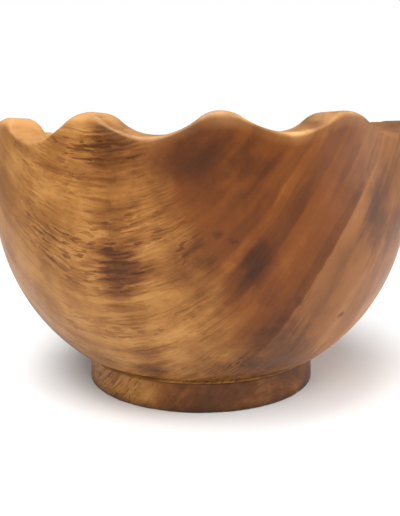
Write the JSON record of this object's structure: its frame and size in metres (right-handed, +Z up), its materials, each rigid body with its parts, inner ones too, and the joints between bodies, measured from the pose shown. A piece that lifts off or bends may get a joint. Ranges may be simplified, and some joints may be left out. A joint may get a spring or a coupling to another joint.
{
  "type": "carved wooden bowl",
  "caption": "Deep round wooden bowl with a scalloped rim, on a turned ring foot glued over a spigot under the bowl.",
  "frame": {"origin": "centre of the face that the bowl stands on, under the ring foot", "axes": "+Z up along the bowl's axis, -Y towards one scallop crest, which is the front"},
  "size_m": [0.176, 0.176, 0.115],
  "materials": {
    "bowl_wood": "oiled, satin",
    "foot_wood": "oiled, satin"
  },
  "bodies": {
    "root": {"bowl": "bowl_wood", "foot_ring": "foot_wood"}
  },
  "joints": []
}
